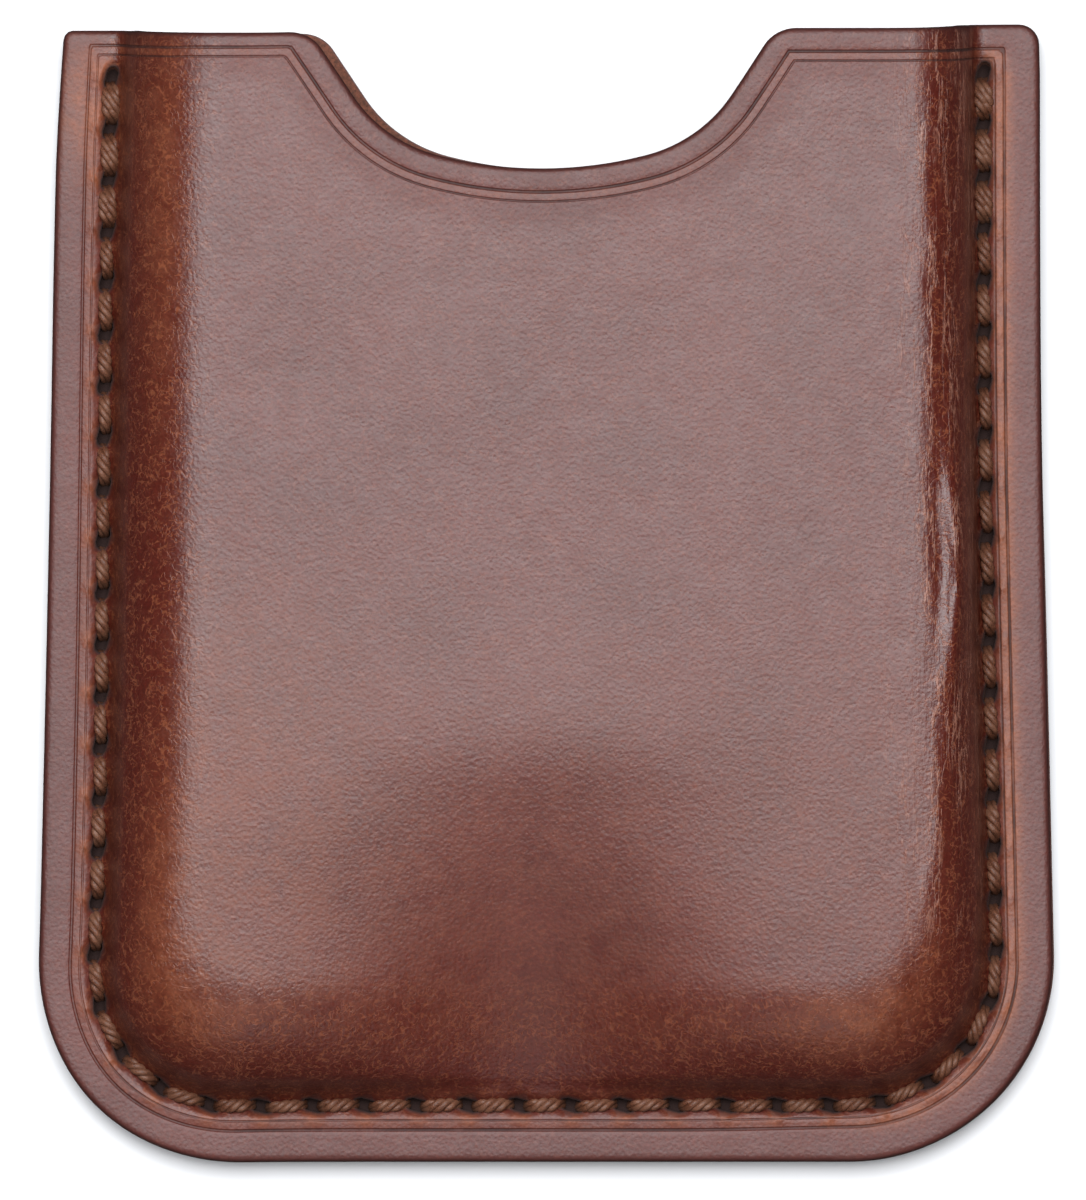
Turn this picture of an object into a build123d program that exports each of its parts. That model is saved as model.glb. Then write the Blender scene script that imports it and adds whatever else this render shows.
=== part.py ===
"""Open-topped business card case: two leather panels sewn together on three sides.

The case lies on its flat back panel. X runs across it, Y runs up to the mouth and Z is its
thickness. The origin is the middle of the case's plan, on the back panel's outer face. Sizes
are in millimetres.

The front panel is moulded to a raised pocket inside a flat flange, the back panel is flat, and
both are cut to one outline with a thumb notch in the mouth. A lockstitch holds the flange down:
the needle thread lies along the front, the bobbin thread along the back, and their loops meet
in the middle of each hole.
"""

from build123d import *
from math import atan2, cos, degrees, radians, tan
import os

# Outline of both panels
CASE_LENGTH = 92.4  # along Y, from the foot to the mouth
FOOT_WIDTH = 83.2  # where the straight sides would meet the foot line
MOUTH_WIDTH = 79.0  # across the mouth
FOOT_CORNER_RADIUS = 16.6
MOUTH_CORNER_RADIUS = 1.6

# Thumb notch, made of a wide floor arc, a tighter arc at each side and a straight flank
NOTCH_DEPTH = 11.5
NOTCH_FLOOR_RADIUS = 34.0
NOTCH_FLOOR_ANGLE = 15.0  # degrees turned by the floor arc on each side of the middle
NOTCH_SIDE_RADIUS = 11.4
NOTCH_FLANK_ANGLE = 58.0  # degrees between the flank and the mouth
NOTCH_SHOULDER_RADIUS = 3.0

# Leather
BACK_THICKNESS = 1.8
FRONT_THICKNESS = 1.6

# Moulded pocket
POCKET_DEPTH = 9.4  # clear height between the back panel and the inside of the front face
WALL_RUN = 6.3  # how far the side walls lean in from foot to crown
FOOT_WALL_RUN = 8.6  # the same for the wall at the foot of the case
CROWN_CORNER_RADIUS = 6.0
CREST_RADIUS = 4.2  # outer bend between the wall and the front face
FLARE_RADIUS = 1.4  # outer bend between the flange and the wall

# Seam
SEAM_INSET = 4.6  # stitch line to the panel's edge
SEAM_START = 3.9  # first hole to the mouth
STITCH_PITCH = 4.2
SEAM_TO_POCKET = 1.3  # stitch line to the foot of the moulded wall

# Thread and its holes
THREAD_DIAMETER = 0.8
THREAD_CLEARANCE = 0.05
THREAD_BEND = 0.52 * THREAD_DIAMETER  # centre-line radius where the thread turns into a hole
LEG_SPACING = THREAD_DIAMETER + 0.2  # between the two legs of a loop in one hole
HOLE_SLANT = 15.0  # degrees each hole is turned from the seam, so that the stitches lie aslant
FRONT_GROOVE_DEPTH = 0.35
BACK_GROOVE_DEPTH = THREAD_DIAMETER + 2 * THREAD_CLEARANCE

# Worked out from the sizes above
HALF_LENGTH = CASE_LENGTH / 2
OVERRUN = 12.0  # how far the pocket's forms run out past the mouth before they are trimmed
FLANGE_TOP = BACK_THICKNESS + FRONT_THICKNESS
CASE_THICKNESS = FLANGE_TOP + POCKET_DEPTH
SIDE_SLOPE = atan2((FOOT_WIDTH - MOUTH_WIDTH) / 2, CASE_LENGTH)
WALL_ANGLE = atan2(POCKET_DEPTH, WALL_RUN)
INNER_OFFSET = FRONT_THICKNESS * tan(WALL_ANGLE / 2)  # keeps the wall as thick as the flange
HOLE_WIDTH = THREAD_DIAMETER + 2 * THREAD_CLEARANCE
HOLE_LENGTH = LEG_SPACING + HOLE_WIDTH
GROOVE_WIDTH = THREAD_DIAMETER + 12 * THREAD_CLEARANCE


def half_width(y, inset=0.0):
    """Half the width between the straight sides at a height, each moved in by an inset."""
    taper = (MOUTH_WIDTH - FOOT_WIDTH) / 2 * (y + HALF_LENGTH) / CASE_LENGTH
    return FOOT_WIDTH / 2 + taper - inset / cos(SIDE_SLOPE)


def corners(top, bottom, inset=0.0):
    """The four corners of the tapered plan between two heights, anticlockwise from top left."""
    left_top, left_bottom = -half_width(top, inset), -half_width(bottom, inset)
    return [(left_top, top), (left_bottom, bottom), (-left_bottom, bottom), (-left_top, top)]


def notch_face():
    """The thumb notch as a face that runs out past the mouth."""
    floor_angle, flank_angle = NOTCH_FLOOR_ANGLE, NOTCH_FLANK_ANGLE
    with BuildSketch() as notch:
        with BuildLine():
            floor = JernArc((0, HALF_LENGTH - NOTCH_DEPTH), (1, 0), NOTCH_FLOOR_RADIUS, floor_angle)
            side = JernArc(floor @ 1, floor % 1, NOTCH_SIDE_RADIUS, flank_angle - floor_angle)
            rise = HALF_LENGTH + OVERRUN - (side @ 1).Y
            flank_top = side @ 1 + Vector(rise / tan(radians(flank_angle)), rise)
            flank = Line(side @ 1, flank_top)
            Line(flank @ 1, (0, flank_top.Y))
            mirror(about=Plane.YZ)
        make_face()
    return notch.sketch


def panel_face():
    """The outline that both panels are cut to."""
    with BuildSketch() as panel:
        Polygon(*corners(HALF_LENGTH, -HALF_LENGTH), align=None)
        feet = panel.vertices().group_by(Axis.Y)[0]
        fillet(feet, FOOT_CORNER_RADIUS)
        mouth = panel.vertices().group_by(Axis.Y)[-1]
        fillet(mouth, MOUTH_CORNER_RADIUS)
        add(notch_face(), mode=Mode.SUBTRACT)
        shoulders = panel.vertices().group_by(Axis.Y)[-1].sort_by(Axis.X)[1:3]
        fillet(shoulders, NOTCH_SHOULDER_RADIUS)
    return panel.sketch


def pocket_face(side_inset, foot_inset, corner_radius):
    """The pocket's plan at one height, open past the mouth."""
    with BuildSketch() as pocket:
        plan = corners(HALF_LENGTH + OVERRUN, foot_inset - HALF_LENGTH, side_inset)
        Polygon(*plan, align=None)
        fillet(pocket.vertices().group_by(Axis.Y)[0], corner_radius)
    return pocket.sketch


def pocket_form(base, wall_offset, crest_radius):
    """A pocket-shaped block, from the foot of its walls at height base to its crown."""
    foot_inset = SEAM_INSET + SEAM_TO_POCKET + wall_offset
    foot_radius = FOOT_CORNER_RADIUS - foot_inset
    crown_radius = CROWN_CORNER_RADIUS - wall_offset
    with BuildPart() as form:
        with BuildSketch(Plane.XY.offset(base)):
            add(pocket_face(foot_inset, foot_inset, foot_radius))
        with BuildSketch(Plane.XY.offset(base + POCKET_DEPTH)):
            add(pocket_face(foot_inset + WALL_RUN, foot_inset + FOOT_WALL_RUN, crown_radius))
        loft()
        crown = form.faces().sort_by(Axis.Z)[-1]
        crest = crown.edges().sort_by(Axis.Y)[:-1]
        fillet(crest, crest_radius)
    return form.part


def seam_line():
    """The stitch line, from the first hole at the top left round the foot to the top right."""
    path = corners(HALF_LENGTH - SEAM_START, SEAM_INSET - HALF_LENGTH, SEAM_INSET)
    return FilletPolyline(*path, radius=FOOT_CORNER_RADIUS - SEAM_INSET)


SEAM = seam_line()
STITCHES = round(SEAM.length / STITCH_PITCH)


def seam_holes():
    """Each stitch hole's centre, and the direction that the hole runs in."""
    places = [i / STITCHES for i in range(STITCHES + 1)]
    return [(SEAM @ u, (SEAM % u).rotate(Axis.Z, -HOLE_SLANT)) for u in places]


def hole_places():
    """Where each stitch hole stands, turned the way it runs."""
    places = []
    for centre, along in seam_holes():
        turn = degrees(atan2(along.Y, along.X))
        places.append(Location((centre.X, centre.Y, 0), (0, 0, turn)))
    return places


def seam_tool(lowest, groove_floor, groove_height):
    """What the seam takes out of a panel: the stitch holes and the groove for the thread."""
    with BuildPart() as tool:
        with BuildSketch(Plane.XY.offset(lowest)):
            with Locations(*hole_places()):
                SlotOverall(HOLE_LENGTH, HOLE_WIDTH)
        extrude(amount=FLANGE_TOP + 2 * THREAD_CLEARANCE)
        with BuildSketch(Plane.XY.offset(groove_floor)):
            with BuildLine():
                add(SEAM)
            trace(line_width=GROOVE_WIDTH)
        extrude(amount=groove_height)
    return tool.part


def thread_path(crown_height, loop_height):
    """The centre line of one thread: along the surface between holes, and a loop in each."""
    reach = LEG_SPACING / 2
    points = []
    for number, (centre, along) in enumerate(seam_holes()):
        arriving, leaving = centre - along * reach, centre + along * reach
        if number > 0:
            points += [(arriving.X, arriving.Y, z) for z in (crown_height, loop_height)]
        if number < STITCHES:
            points += [(leaving.X, leaving.Y, z) for z in (loop_height, crown_height)]
    return FilletPolyline(*points, radius=THREAD_BEND)


os.makedirs("parts", exist_ok=True)

# Back panel: flat, with the thread sunk in a groove so that it lies flush with the outer face
with BuildPart() as back_panel:
    with BuildSketch():
        add(panel_face())
    extrude(amount=BACK_THICKNESS)
    add(seam_tool(-THREAD_CLEARANCE, 0, BACK_GROOVE_DEPTH), mode=Mode.SUBTRACT)
back_panel.part.label = "back_panel"

# Front panel: flange and moulded pocket, hollowed from below and trimmed to the outline
with BuildPart() as front_panel:
    with BuildSketch(Plane.XY.offset(BACK_THICKNESS)):
        Polygon(*corners(HALF_LENGTH + OVERRUN, -HALF_LENGTH), align=None)
    extrude(amount=FRONT_THICKNESS)
    add(pocket_form(FLANGE_TOP, 0, CREST_RADIUS))
    on_flange = front_panel.faces().filter_by(Axis.Z).group_by(Axis.Z)[-2]
    flare = on_flange.edges().filter_by_position(Axis.Z, FLANGE_TOP, FLANGE_TOP)
    wall_foot = [e for e in flare if abs(e.center().X) < half_width(e.center().Y, SEAM_INSET)]
    fillet([e for e in wall_foot if e.center().Y < HALF_LENGTH + OVERRUN / 2], FLARE_RADIUS)
    cavity = pocket_form(BACK_THICKNESS, INNER_OFFSET, CREST_RADIUS - FRONT_THICKNESS)
    add(cavity, mode=Mode.SUBTRACT)
    with BuildSketch(Plane.XY.offset(BACK_THICKNESS)):
        add(panel_face())
    extrude(amount=CASE_THICKNESS, mode=Mode.INTERSECT)
    groove_floor = FLANGE_TOP - FRONT_GROOVE_DEPTH
    seam = seam_tool(BACK_THICKNESS - THREAD_CLEARANCE, groove_floor, FRONT_THICKNESS)
    add(seam, mode=Mode.SUBTRACT)
front_panel.part.label = "front_panel"

# The two threads, whose loops meet with a small gap in the middle of the leather
front_crown = FLANGE_TOP - FRONT_GROOVE_DEPTH + THREAD_CLEARANCE + THREAD_DIAMETER / 2
back_crown = BACK_GROOVE_DEPTH - THREAD_CLEARANCE - THREAD_DIAMETER / 2
lock = (front_crown + back_crown) / 2
loop_rise = (THREAD_DIAMETER + THREAD_CLEARANCE) / 2

# Needle thread: its crowns lie along the front of the flange
needle_path = thread_path(front_crown, lock + loop_rise)
with BuildPart() as needle_thread:
    with BuildSketch(Plane(origin=needle_path @ 0, z_dir=needle_path % 0)):
        Circle(THREAD_DIAMETER / 2)
    sweep(path=needle_path)
needle_thread.part.label = "needle_thread"

# Bobbin thread: its crowns lie in the groove along the back
bobbin_path = thread_path(back_crown, lock - loop_rise)
with BuildPart() as bobbin_thread:
    with BuildSketch(Plane(origin=bobbin_path @ 0, z_dir=bobbin_path % 0)):
        Circle(THREAD_DIAMETER / 2)
    sweep(path=bobbin_path)
bobbin_thread.part.label = "bobbin_thread"

export_step(back_panel.part, "parts/back_panel.step")
export_step(front_panel.part, "parts/front_panel.step")
export_step(needle_thread.part, "parts/needle_thread.step")
export_step(bobbin_thread.part, "parts/bobbin_thread.step")

print("stitches", STITCHES, "at a pitch of", round(SEAM.length / STITCHES, 3))
print("thread lengths", round(needle_path.length, 1), round(bobbin_path.length, 1))
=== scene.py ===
"""Business card case: the moulded front panel, the flat back panel, the stitches and the studio.

Plans and heights are worked out in millimetres and turned into metres when a mesh is made.
The case lies on its back: X across it, Y up to the mouth, Z out of the moulded front face.
"""

import math

import bpy
import numpy as np
from bpy.props import FloatProperty, FloatVectorProperty, IntProperty, PointerProperty
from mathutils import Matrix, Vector
from mathutils.geometry import delaunay_2d_cdt
from mathutils.kdtree import KDTree


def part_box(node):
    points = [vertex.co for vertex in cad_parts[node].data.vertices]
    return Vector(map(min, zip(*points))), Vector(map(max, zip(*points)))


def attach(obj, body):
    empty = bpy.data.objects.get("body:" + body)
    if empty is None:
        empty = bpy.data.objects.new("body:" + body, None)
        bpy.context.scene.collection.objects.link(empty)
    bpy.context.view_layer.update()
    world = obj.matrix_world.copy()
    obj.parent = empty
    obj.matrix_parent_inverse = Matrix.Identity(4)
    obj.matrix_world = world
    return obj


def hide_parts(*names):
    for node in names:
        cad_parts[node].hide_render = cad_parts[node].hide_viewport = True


bl_info = {
    "name": "Business card case",
    "version": (1, 0, 0),
    "blender": (4, 5, 0),
    "location": "View3D > Sidebar > Card case",
    "description": "Makes a stitched, wet-moulded leather business card case",
    "category": "Add Mesh",
}

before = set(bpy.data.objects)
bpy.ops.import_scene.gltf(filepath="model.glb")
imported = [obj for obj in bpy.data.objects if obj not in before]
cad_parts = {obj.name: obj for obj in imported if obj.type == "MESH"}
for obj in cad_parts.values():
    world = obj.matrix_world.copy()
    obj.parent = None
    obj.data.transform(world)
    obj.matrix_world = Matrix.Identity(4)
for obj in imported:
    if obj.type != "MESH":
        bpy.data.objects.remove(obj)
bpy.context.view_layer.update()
MM = 0.001


def box_size(node, axis):
    """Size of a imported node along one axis, in metres."""
    low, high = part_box(node)
    return high[axis] - low[axis]


def length(name, description, default, smallest=0.0):
    """A size in metres."""
    return FloatProperty(
        name=name, description=description, default=default, min=smallest, precision=5, unit="LENGTH"
    )


def colour(name, description, default):
    """A linear colour."""
    return FloatVectorProperty(
        name=name, description=description, default=default, size=3, min=0.0, max=1.0, subtype="COLOR"
    )


class CardCaseSizes(bpy.types.PropertyGroup):
    """Sizes of the panels and the seam."""

    case_length: length("Case length", "From the foot to the mouth", box_size("back_panel", 1))
    foot_width: length("Foot width", "Where the straight sides would meet the foot", 0.0832)
    mouth_width: length("Mouth width", "Across the mouth", 0.079)
    foot_corner: length("Foot corner", "Radius of the two lower corners", 0.0166)
    mouth_corner: length("Mouth corner", "Radius of the two upper corners", 0.0011)
    notch_depth: length("Notch depth", "From the mouth to the floor of the thumb notch", 0.0116)
    notch_shoulder: length("Notch shoulder", "Radius where the notch meets the mouth", 0.003)
    back_thickness: length("Back leather", "Thickness of the back panel", box_size("back_panel", 2))
    front_thickness: length("Front leather", "Thickness of the front panel", 0.0016)
    pocket_depth: length("Pocket depth", "Clear height inside the moulded pocket", 0.0094)
    wall_run: length("Wall run", "How far the pocket's side walls lean in", 0.0063)
    foot_wall_run: length("Foot wall run", "How far the wall at the foot leans in", 0.0086)
    crown_corner: length("Crown corner", "Corner radius of the pocket's flat face", 0.006)
    edge_round: length("Edge rounding", "Radius of the burnished edges", 0.00055)
    crease_inset: length("Crease inset", "From the edge to the outer crease", 0.00195)
    crease_gap: length("Crease gap", "Between the two creases", 0.00078)
    seam_inset: length("Seam inset", "From the edge to the stitch line", 0.0046)
    seam_start: length("Seam start", "From the mouth to the first hole", 0.0039)
    hole_length: length("Hole length", "Length of each stitch hole", 0.0019)
    hole_width: length("Hole width", "Width of each stitch hole", 0.00095)
    thread_radius: length("Thread radius", "Radius of the twisted thread", 0.00056)


class CardCaseSeam(bpy.types.PropertyGroup):
    """How the seam is sewn."""

    stitches: IntProperty(name="Stitches", description="Stitches round the seam", default=55, min=8)
    doubled: IntProperty(name="Doubled", description="Stitches sewn twice at each end", default=3, min=0)
    slant: FloatProperty(
        name="Slant",
        description="Turn of each hole from the seam",
        default=math.radians(15.0),
        subtype="ANGLE",
    )
    twist: FloatProperty(name="Twist", description="Turns of the plies in one stitch", default=1.35)
    seed: IntProperty(name="Seed", description="Changes the unevenness of the stitches", default=4)


class CardCaseColours(bpy.types.PropertyGroup):
    """Colours of the leather, the thread and the studio."""

    leather: colour("Leather", "Dyed grain side", (0.080, 0.0125, 0.0085))
    # the deep colour is also painted onto the steep walls as shade
    leather_deep_and_wall_shade: colour("Deep leather", "Darkest parts of the dye", (0.056, 0.0058, 0.0034))
    pull_up: colour("Pull-up", "Where the wax has been stretched out", (0.20, 0.058, 0.024))
    edge_dye: colour("Edge dye", "Burnished edges", (0.040, 0.0095, 0.0075))
    flesh: colour("Flesh side", "Undyed inner side", (0.18, 0.058, 0.032))
    thread: colour("Thread", "Waxed sewing thread", (0.150, 0.054, 0.027))
    thread_dark: colour("Thread dark", "Between the plies", (0.040, 0.013, 0.007))
    floor: colour("Floor", "Studio floor", (0.80, 0.80, 0.81))


def sizes():
    """The case's sizes in millimetres, by name."""
    group = bpy.context.scene.card_case_sizes
    return {name: getattr(group, name) / MM for name in group.bl_rna.properties.keys()[2:]}


# ---- plan of the case

# thumb notch: radii of its floor and side bends, slopes of its flanks and floor
FLOOR_BEND = 32.5
SIDE_BEND = 11.4
FLANK_SLOPE = math.radians(58)
FLOOR_SLOPE = math.radians(15)

# distances of the rows of points from the edge, the last ones over the two creases
EDGE_ROWS = (0.07, 0.18, 0.35, 0.6, 1.0, 1.4, 1.72, 1.9, 2.08, 2.37, 2.55, 2.73, 3.1)
# rows outside and along the stitch line; each panel adds its own rows up the wall
SEAM_ROWS = (-1.1, -0.75, -0.42, 0, 0.42, 0.75)
# rows round each stitch hole: how far out, and points on each end
HOLE_ROWS = ((0.14, 5), (0.32, 6), (0.52, 7))


def rounded(corners, spacing, closed=True):
    """Evenly spaced points along runs that meet in arcs, from corners given as (x, y, radius)."""
    knots = np.array([c[:2] for c in corners], float)
    count = len(corners)
    ends = []
    for i, (_, _, radius) in enumerate(corners):
        if not closed and i in (0, count - 1):
            ends.append([knots[i]])
            continue
        back = knots[i - 1] - knots[i]
        ahead = knots[(i + 1) % count] - knots[i]
        back, ahead = back / np.hypot(*back), ahead / np.hypot(*ahead)
        half = 0.5 * math.acos(float(np.clip(back @ ahead, -1, 1)))
        middle = (back + ahead) / np.hypot(*(back + ahead))
        centre = knots[i] + middle * radius / math.sin(half)
        start = knots[i] + back * radius / math.tan(half) - centre
        turn = math.pi - 2 * half
        if back[0] * ahead[1] - back[1] * ahead[0] > 0:
            turn = -turn
        steps = max(2, math.ceil(abs(turn) * radius / spacing))
        arc = []
        for angle in np.linspace(0, turn, steps + 1):
            cosine, sine = math.cos(angle), math.sin(angle)
            arc.append(centre + [start[0] * cosine - start[1] * sine, start[0] * sine + start[1] * cosine])
        ends.append(arc)
    points = []
    for i, arc in enumerate(ends):
        points += arc
        if closed or i < count - 1:
            first, last = arc[-1], ends[(i + 1) % count][0]
            steps = max(1, round(float(np.hypot(*(last - first))) / spacing))
            points += [first + (last - first) * k / steps for k in range(1, steps)]
    points = np.array(points)
    apart = np.hypot(*(points - np.roll(points, 1, axis=0)).T)
    return points[apart > 1e-4]


def side_line(size, y):
    """Half the width of the panel at a height."""
    taper = (size["mouth_width"] - size["foot_width"]) / 2 / size["case_length"]
    return size["foot_width"] / 2 + taper * (y + size["case_length"] / 2)


def outline(size, spacing, shift, shoulder, depth):
    """A panel's outline anticlockwise, with the thumb notch moved across by shift."""
    top, foot = size["case_length"] / 2, -size["case_length"] / 2
    wide, low = side_line(size, top), side_line(size, foot)
    reach = FLOOR_BEND * math.tan(FLOOR_SLOPE) + SIDE_BEND * math.tan((FLANK_SLOPE - FLOOR_SLOPE) / 2)
    dip = top - depth - FLOOR_BEND * (1 / math.cos(FLOOR_SLOPE) - 1)
    bend_x, bend_y = reach * math.cos(FLOOR_SLOPE), dip + reach * math.sin(FLOOR_SLOPE)
    lip = bend_x + (top - bend_y) / math.tan(FLANK_SLOPE)
    corners = [
        (-wide, top, size["mouth_corner"] * 0.7),
        (-low, foot, size["foot_corner"]),
        (low, foot, size["foot_corner"]),
        (wide, top, size["mouth_corner"] * 1.5),
        (shift + lip, top, shoulder),
        (shift + bend_x, bend_y, SIDE_BEND),
        (shift, dip, FLOOR_BEND),
        (shift - bend_x, bend_y, SIDE_BEND),
        (shift - lip, top, shoulder),
    ]
    return rounded(corners, spacing)


def seam_path(size, spacing):
    """The stitch line from the first hole at the top left round the foot to the top right."""
    top, foot = size["case_length"] / 2 - size["seam_start"], size["seam_inset"] - size["case_length"] / 2
    wide, low = side_line(size, top) - size["seam_inset"], side_line(size, foot) - size["seam_inset"]
    bend = size["foot_corner"] - size["seam_inset"]
    return rounded([(-wide, top, 0), (-low, foot, bend), (low, foot, bend), (wide, top, 0)], spacing, False)


def inset_from(size, xy, side, foot, radius):
    """Distance inside a U that lies side and foot inwards of the panel's sides and foot."""
    slope = math.cos(math.atan((size["foot_width"] - size["mouth_width"]) / 2 / size["case_length"]))
    across = radius - (side_line(size, xy[:, 1]) - np.abs(xy[:, 0])) * slope + side
    along = radius - (xy[:, 1] + size["case_length"] / 2) + foot
    outside = np.hypot(np.maximum(across, 0), np.maximum(along, 0))
    return radius - np.where(np.maximum(across, along) > 0, outside, np.maximum(across, along))


def nearest(xy, line):
    """The number of the nearest point of a line for each point."""
    tree = KDTree(len(line))
    for i, (x, y) in enumerate(line):
        tree.insert((x, y, 0), i)
    tree.balance()
    return np.array([tree.find((x, y, 0))[1] for x, y in xy])


def follow(xy, line, closed):
    """For each point: the distance to a line of points, the length along it, and the side."""
    near = nearest(xy, line)
    ahead = np.roll(line, -1, axis=0) - line
    runs = np.hypot(ahead[:, 0], ahead[:, 1])
    travelled = np.concatenate([[0], np.cumsum(runs)])
    best = np.full(len(xy), 1e9)
    along, side = np.zeros(len(xy)), np.zeros(len(xy))
    for step in (-1, 0):
        first = (near + step) % len(line) if closed else np.clip(near + step, 0, len(line) - 2)
        leg, run = ahead[first], runs[first]
        gap = xy - line[first]
        share = np.clip((gap * leg).sum(1) / run**2, 0, 1)
        off = gap - leg * share[:, None]
        distance = np.hypot(off[:, 0], off[:, 1])
        nearer = distance < best
        best = np.where(nearer, distance, best)
        along = np.where(nearer, travelled[first] + share * run, along)
        side = np.where(nearer, np.sign(leg[:, 0] * gap[:, 1] - leg[:, 1] * gap[:, 0]), side)
    return best, along, side


def loop_area(loop):
    """The area inside a closed loop of points."""
    ahead = np.roll(loop, -1, axis=0)
    return abs(float((loop[:, 0] * ahead[:, 1] - loop[:, 1] * ahead[:, 0]).sum())) / 2


def along_line(line, lengths):
    """Places and directions at lengths along an open line of points."""
    runs = np.hypot(*np.diff(line, axis=0).T)
    travelled = np.concatenate([[0], np.cumsum(runs)])
    behind, places, ahead = (
        np.stack([np.interp(lengths + step, travelled, column) for column in line.T], 1)
        for step in (-0.05, 0, 0.05)
    )
    way = ahead - behind
    return places, way / np.hypot(way[:, 0], way[:, 1])[:, None]


def bump(distance, width):
    """A soft ridge of height 1, as wide as stated on each side."""
    return np.exp(-((distance / width) ** 2))


def rise(value, low, high):
    """A smooth step from 0 at low to 1 at high."""
    share = np.clip((value - low) / (high - low), 0, 1)
    return share * share * (3 - 2 * share)


def soft_noise(xy, cell, seed):
    """Smooth, seeded unevenness between -1 and 1 with bumps about one cell wide."""
    grid = np.random.default_rng(seed).uniform(-1, 1, (64, 64))
    spot = xy / cell + 31
    base = np.floor(spot).astype(int)
    part = spot - base
    part = part * part * (3 - 2 * part)
    value = 0
    for dx in (0, 1):
        for dy in (0, 1):
            weight = np.abs(1 - dx - part[:, 0]) * np.abs(1 - dy - part[:, 1])
            value = value + weight * grid[(base[:, 0] + dx) % 64, (base[:, 1] + dy) % 64]
    return value


def hand_cut(xyz):
    """The lean and unevenness of the hand-cut edges, which all pieces share."""
    out = xyz.copy()
    x, y, z = xyz.T
    out[:, 0] += 0.42 * rise(-x, 34, 39) * np.clip((y - 34) / 12, 0, 1) ** 1.5
    out[:, 0] += 0.28 * rise(-x, 36, 40) * rise(y, -20, 20)
    out[:, 0] -= 0.40 * rise(-x, 10, 34) * rise(y, -20, 30)
    low_corner = 0.40 * bump(x + 33, 8) * bump(y + 38, 8)
    out[:, 0] -= low_corner
    out[:, 1] -= low_corner
    out[:, 0] += 0.58 * rise(x, -10, 30) * np.clip((y - 8) / 34, 0, 1) ** 1.3
    near_mouth = np.clip((y - 20) / 26, 0, 1) ** 2
    out[:, 1] -= 0.30 * near_mouth * np.clip((z - 3.4) / 8, 0, 1)
    out[:, 1] += 0.12 * near_mouth * rise(x, 26, 38)
    out[:, 1] -= 0.38 * near_mouth * rise(-x, 8, 24)
    return out


# ---- leather sheets


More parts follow.
